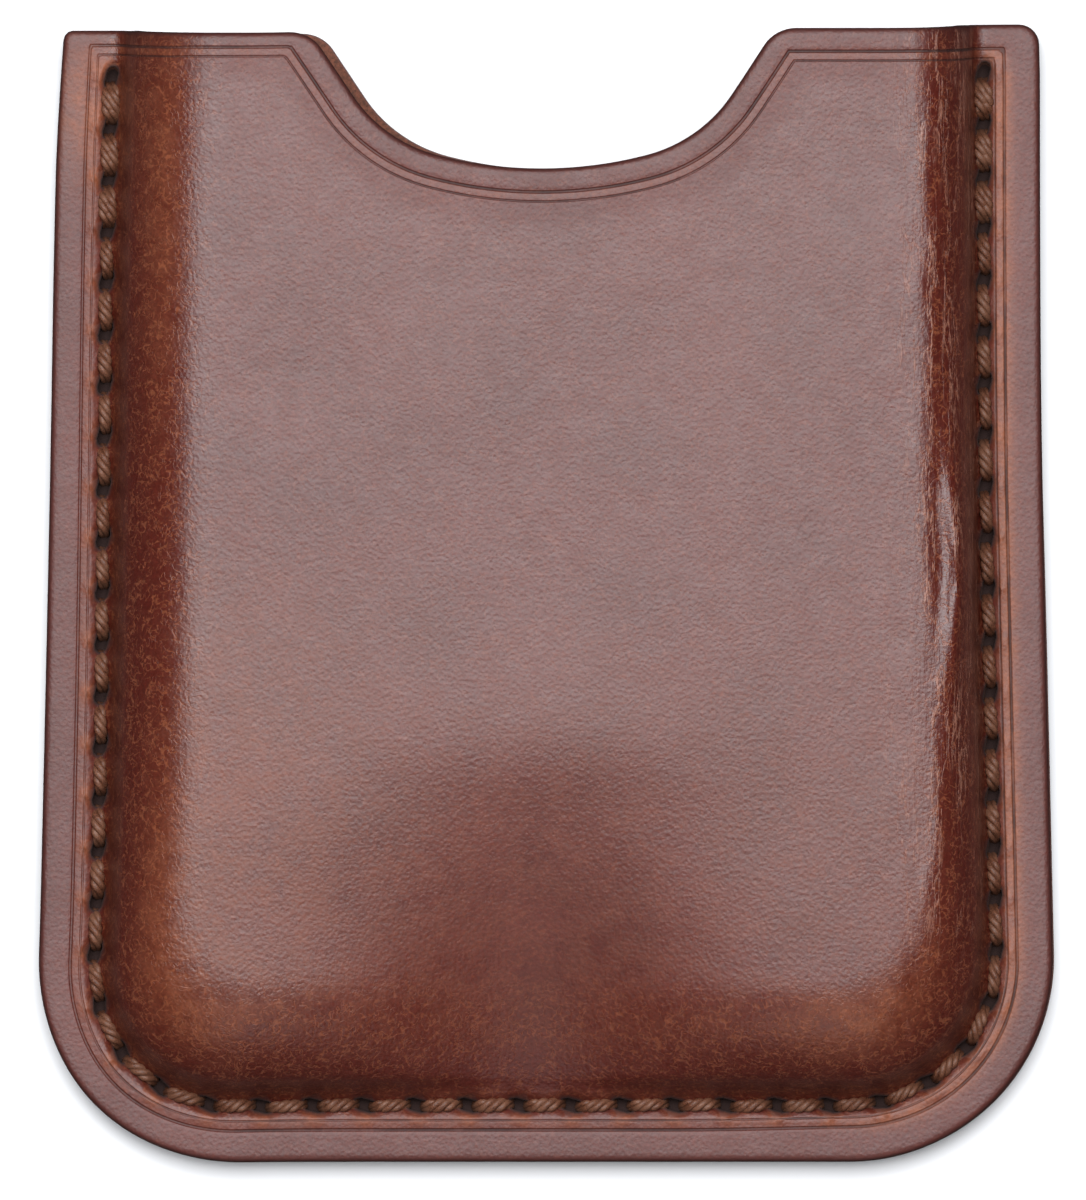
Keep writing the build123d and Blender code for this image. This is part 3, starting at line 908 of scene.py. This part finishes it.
def stitch_tree():
    """Geometry nodes that lay one twisted stitch between each two holes along the seam line."""
    group = bpy.data.node_groups.get("twisted_stitches")
    if group:
        return group
    group = bpy.data.node_groups.new("twisted_stitches", "GeometryNodeTree")
    sockets = {
        "Geometry": ("Seam Line",),
        "Int": ("Stitches", "Doubled", "Seed"),
        "Float": ("Slant", "Reach", "Thread Radius", "Twist", "Height", "Dive", "Facing"),
        "Material": ("Thread",),
    }
    for kind, names in sockets.items():
        for name in names:
            group.interface.new_socket(name, in_out="INPUT", socket_type="NodeSocket" + kind)
    group.interface.new_socket("Stitches", in_out="OUTPUT", socket_type="NodeSocketGeometry")
    tree = Tree(group)
    given = tree.add("NodeGroupInput").outputs
    facing = given["Facing"]
    line = tree.add("GeometryNodeMeshToCurve", {0: given["Seam Line"]}).outputs[0]
    index = tree.add("GeometryNodeInputIndex").outputs[0]

    def leg(number, sign):
        """Where the thread goes into a hole: to one side of its middle, along its slant."""
        inputs = {"Curves": line, "Factor": tree.math("DIVIDE", number, given["Stitches"])}
        found = tree.add("GeometryNodeSampleCurve", inputs, mode="FACTOR", use_all_curves=True).outputs
        inputs = {"Vector": found["Tangent"], "Angle": tree.times(given["Slant"], -1.0)}
        way = tree.add("ShaderNodeVectorRotate", inputs, rotation_type="Z_AXIS").outputs[0]
        return tree.vector("ADD", found["Position"], tree.scaled(way, tree.times(given["Reach"], sign)))

    def random(low, high, salt):
        """An even random number for each stitch."""
        seed = tree.math("ADD", given["Seed"], float(salt * 17))
        inputs = {2: low, 3: high, "Seed": seed}
        return tree.add("FunctionNodeRandomValue", inputs, data_type="FLOAT").outputs[1]

    # one stitch: plies twisted together, arched over the leather and diving at both ends
    ply = tree.add("GeometryNodeCurvePrimitiveLine", {"Start": (0, 0, 0), "End": (STITCH_LENGTH, 0, 0)})
    ply = tree.add("GeometryNodeResampleCurve", {"Curve": ply.outputs[0], "Count": 19}, mode="COUNT")
    inputs = {"Geometry": ply.outputs[0], "Amount": PLIES}
    plies = tree.add("GeometryNodeDuplicateElements", inputs, domain="SPLINE").outputs
    share = tree.add("GeometryNodeSplineParameter").outputs["Factor"]
    turn = tree.times(tree.times(share, given["Twist"]), facing)
    turn = tree.math("ADD", turn, tree.math("DIVIDE", plies["Duplicate Index"], float(PLIES)))
    turn = tree.times(turn, -2 * math.pi)
    centred = tree.math("ABSOLUTE", tree.math("SUBTRACT", tree.times(share, 2.0), 1.0))
    deep = tree.math("POWER", centred, 4.0)
    sunk = tree.times(tree.math("POWER", centred, 3.2), given["Dive"])
    drop = tree.total(sunk, (tree.math("POWER", centred, 2.0), STITCH_ARCH))
    squeeze = tree.math("SUBTRACT", 1.0, tree.times(deep, 0.4))
    orbit = tree.times(tree.times(given["Thread Radius"], 0.53), squeeze)
    lift = tree.math("SUBTRACT", tree.times(orbit, tree.math("SINE", turn)), drop)
    run = tree.times(tree.math("SUBTRACT", share, 0.5), STITCH_LENGTH)
    across = tree.times(orbit, tree.math("COSINE", turn))
    spot = tree.add("ShaderNodeCombineXYZ", {0: run, 1: across, 2: tree.times(lift, facing)}).outputs[0]
    plies = tree.add("GeometryNodeSetPosition", {"Geometry": plies[0], "Position": spot}).outputs[0]
    # deep marks the stitch ends: it squeezes the thread there and carries the thread's painted shade in the
    # holes
    inputs = {"Geometry": plies, "Name": "deep", "Value": deep}
    marked = tree.add("GeometryNodeStoreNamedAttribute", inputs, data_type="FLOAT", domain="POINT")
    inputs = {"Resolution": 7, "Radius": tree.times(given["Thread Radius"], 0.50)}
    section = tree.add("GeometryNodeCurvePrimitiveCircle", inputs, mode="RADIUS").outputs[0]
    inputs = {"Curve": marked.outputs[0], "Profile Curve": section, "Fill Caps": True}
    stitch = tree.add("GeometryNodeCurveToMesh", inputs).outputs[0]

    def lay(count, number, aside, up):
        """Stitches at the numbered gaps, moved aside and up."""
        points = tree.add("GeometryNodePoints", {"Count": count}).outputs[0]
        start, end = leg(number, 1.0), leg(tree.math("ADD", number, 1.0), -1.0)
        way = tree.vector("SUBTRACT", end, start)
        middle = tree.scaled(tree.vector("ADD", start, end), 0.5)
        side = tree.vector("NORMALIZE", tree.vector("CROSS_PRODUCT", (0, 0, 1), way))
        side = tree.scaled(side, tree.math("ADD", aside, random(-0.00005, 0.00005, 1)))
        up = tree.math("ADD", tree.math("ADD", given["Height"], up), random(-0.00004, 0.00004, 2))
        high = tree.add("ShaderNodeCombineXYZ", {2: up}).outputs[0]
        spot = tree.vector("ADD", tree.vector("ADD", middle, side), high)
        points = tree.add("GeometryNodeSetPosition", {"Geometry": points, "Position": spot}).outputs[0]
        turned = tree.add("FunctionNodeAlignRotationToVector", {"Vector": way}, axis="X", pivot_axis="Z")
        span = tree.add("ShaderNodeVectorMath", {0: way}, operation="LENGTH").outputs["Value"]
        stretch = tree.math("DIVIDE", span, STITCH_LENGTH)
        scale = tree.add("ShaderNodeCombineXYZ", {0: stretch, 1: random(0.93, 1.08, 3), 2: 1.0})
        inputs = {"Points": points, "Instance": stitch}
        inputs |= {"Rotation": turned.outputs[0], "Scale": scale.outputs[0]}
        return tree.add("GeometryNodeInstanceOnPoints", inputs).outputs[0]

    # a stitch in every gap, and a second one over it at both ends
    doubled = given["Doubled"]
    last = tree.math("SUBTRACT", given["Stitches"], doubled)
    from_start = tree.math("LESS_THAN", index, doubled)
    from_end = tree.math("GREATER_THAN", index, tree.math("SUBTRACT", last, 0.5))
    at_end = tree.math("MAXIMUM", from_start, from_end)
    single = lay(given["Stitches"], index, tree.times(at_end, LOWER_ASIDE), 0.0)
    far = tree.math("ADD", tree.math("SUBTRACT", index, doubled), last)
    number = tree.total(tree.times(from_start, index), (tree.math("SUBTRACT", 1.0, from_start), far))
    double = lay(tree.times(doubled, 2.0), number, UPPER_ASIDE, tree.times(facing, UPPER_LIFT))
    joined = tree.add("GeometryNodeJoinGeometry")
    for stitches in (single, double):
        tree.give(joined.inputs[0], stitches)
    real = tree.add("GeometryNodeRealizeInstances", {0: joined.outputs[0]}).outputs[0]
    smooth = tree.add("GeometryNodeSetShadeSmooth", {0: real}).outputs[0]
    painted = tree.add("GeometryNodeSetMaterial", {"Geometry": smooth, "Material": given["Thread"]})
    tree.add("NodeGroupOutput", {0: painted.outputs[0]})
    return group


def make_stitches(name, node, height, dive, facing):
    """One thread's stitches along the seam, as a plain mesh."""
    size, seam = sizes(), bpy.context.scene.card_case_seam
    line = seam_path(size, 0.3)
    flat = hand_cut(np.column_stack([line, np.zeros(len(line))])) * MM
    mesh = bpy.data.meshes.new(name + "_line")
    mesh.from_pydata(flat.tolist(), [(i, i + 1) for i in range(len(flat) - 1)], [])
    piece = bpy.data.objects.new(name, mesh)
    bpy.context.scene.collection.objects.link(piece)
    group = stitch_tree()
    modifier = piece.modifiers.new("stitches", "NODES")
    modifier.node_group = group
    values = {
        "Stitches": seam.stitches,
        "Doubled": seam.doubled,
        "Slant": seam.slant,
        "Reach": (size["hole_length"] - size["hole_width"]) / 2 * MM,
        "Thread Radius": size["thread_radius"] * MM,
        "Twist": seam.twist,
        "Height": height * MM,
        "Dive": dive * MM,
        "Facing": facing,
        "Seed": seam.seed,
        "Thread": cached("waxed_thread", thread_finish),
    }
    for socket in group.interface.items_tree:
        if socket.in_out == "INPUT" and socket.name in values:
            modifier[socket.identifier] = values[socket.name]
    shown = piece.evaluated_get(bpy.context.evaluated_depsgraph_get())
    made = bpy.data.meshes.new_from_object(shown)
    piece.modifiers.remove(modifier)
    piece.data = made
    made.name = name
    bpy.data.meshes.remove(mesh)
    if not made.polygons:
        raise RuntimeError("the seam has no stitches")
    settle(piece, "thread", node)


class CARDCASE_OT_front_stitches(bpy.types.Operator):
    """Lay the needle thread's stitches along the front of the seam"""

    bl_idname = "cardcase.front_stitches"
    bl_label = "Front stitches"

    def execute(self, context):
        size = sizes()
        flange = size["back_thickness"] + size["front_thickness"]
        make_stitches("needle_thread_stitches", "needle_thread", flange - 0.10, 2.0, 1.0)
        return {"FINISHED"}


class CARDCASE_OT_back_stitches(bpy.types.Operator):
    """Lay the bobbin thread's stitches in the channel along the back"""

    bl_idname = "cardcase.back_stitches"
    bl_label = "Back stitches"

    def execute(self, context):
        make_stitches("bobbin_thread_stitches", "bobbin_thread", 0.66, 0.9, -1.0)
        return {"FINISHED"}


# ---- studio

# in metres; the frame size is the width that the camera sees
FLOOR_REACH, FLOOR_GAP = 1.5, 2e-4
CAMERA_HEIGHT, FRAME_SIZE = 3.0, 0.0976


class CARDCASE_OT_studio(bpy.types.Operator):
    """Set the case on a pale floor under a large overhead softbox, with the camera above it"""

    bl_idname = "cardcase.studio"
    bl_label = "Studio"

    def execute(self, context):
        scene = context.scene
        colours = scene.card_case_colours
        signs = ((-1, -1), (1, -1), (1, 1), (-1, 1))
        corners = [(FLOOR_REACH * x, FLOOR_REACH * y, -FLOOR_GAP) for x, y in signs]
        floor = bpy.data.meshes.new("floor")
        floor.from_pydata(corners, [], [(0, 1, 2, 3)])
        floor = bpy.data.objects.new("floor", floor)
        scene.collection.objects.link(floor)
        material, _, shader = new_material("floor_paper")
        shader.inputs["Base Color"].default_value = rgba(colours.floor)
        shader.inputs["Roughness"].default_value = 0.9
        floor.data.materials.append(material)
        floor.visible_glossy = False
        self.light("overhead_softbox", (-0.03, 0.28, 0.80), (0, 0, 0), 0.84, 0.76, 17.5)
        self.light("foot_softbox", (0.0, -0.80, 0.68), (0.87, 0, 0), 0.46, 0.40, 1.2)
        world = bpy.data.worlds.new("studio")
        world.use_nodes = True
        background = world.node_tree.nodes["Background"].inputs
        background["Color"].default_value = (1, 1, 1, 1)
        background["Strength"].default_value = 0.018
        scene.world = world
        camera = bpy.data.cameras.new("camera")
        camera.sensor_width = 36.0
        camera.lens = camera.sensor_width * CAMERA_HEIGHT / FRAME_SIZE
        camera.clip_start, camera.clip_end = 0.01, 20
        camera = bpy.data.objects.new("camera", camera)
        camera.location = (-0.00025, -0.0005, CAMERA_HEIGHT + 0.0034)
        scene.collection.objects.link(camera)
        scene.camera = camera
        scene.view_settings.view_transform = "Standard"
        return {"FINISHED"}

    @staticmethod
    def light(name, place, aim, wide, high, power):
        """A soft rectangular light that faces down, then turned by aim."""
        lamp = bpy.data.lights.new(name, "AREA")
        lamp.shape = "RECTANGLE"
        lamp.size, lamp.size_y = wide, high
        lamp.energy = power
        lamp.color = (0.965, 0.98, 1.0)
        lamp = bpy.data.objects.new(name, lamp)
        lamp.visible_camera = False
        lamp.location = place
        lamp.rotation_euler = aim
        bpy.context.scene.collection.objects.link(lamp)


PIECES = ("front_panel", "back_panel", "front_stitches", "back_stitches", "studio")


class CARDCASE_PT_panel(bpy.types.Panel):
    """Lists the sizes, colours and pieces of the card case"""

    bl_idname = "CARDCASE_PT_panel"
    bl_label = "Card case"
    bl_space_type = "VIEW_3D"
    bl_region_type = "UI"
    bl_category = "Card case"

    def draw(self, context):
        for group in ("card_case_sizes", "card_case_seam", "card_case_colours"):
            owner = getattr(context.scene, group)
            column = self.layout.column(align=True)
            for name in owner.bl_rna.properties.keys()[2:]:
                column.prop(owner, name)
        for name in PIECES:
            self.layout.operator("cardcase." + name)


CLASSES = (
    CardCaseSizes,
    CardCaseSeam,
    CardCaseColours,
    CARDCASE_OT_front_panel,
    CARDCASE_OT_back_panel,
    CARDCASE_OT_front_stitches,
    CARDCASE_OT_back_stitches,
    CARDCASE_OT_studio,
    CARDCASE_PT_panel,
)


def register():
    """Adds the classes and the case's settings."""
    for cls in CLASSES:
        bpy.utils.register_class(cls)
    bpy.types.Scene.card_case_sizes = PointerProperty(type=CardCaseSizes)
    bpy.types.Scene.card_case_seam = PointerProperty(type=CardCaseSeam)
    bpy.types.Scene.card_case_colours = PointerProperty(type=CardCaseColours)


def unregister():
    """Takes the settings and the classes away."""
    del bpy.types.Scene.card_case_colours
    del bpy.types.Scene.card_case_seam
    del bpy.types.Scene.card_case_sizes
    for cls in reversed(CLASSES):
        bpy.utils.unregister_class(cls)


def main():
    """Makes every piece in order."""
    register()
    for name in PIECES:
        getattr(bpy.ops.cardcase, name)()


if __name__ == "__main__":
    main()
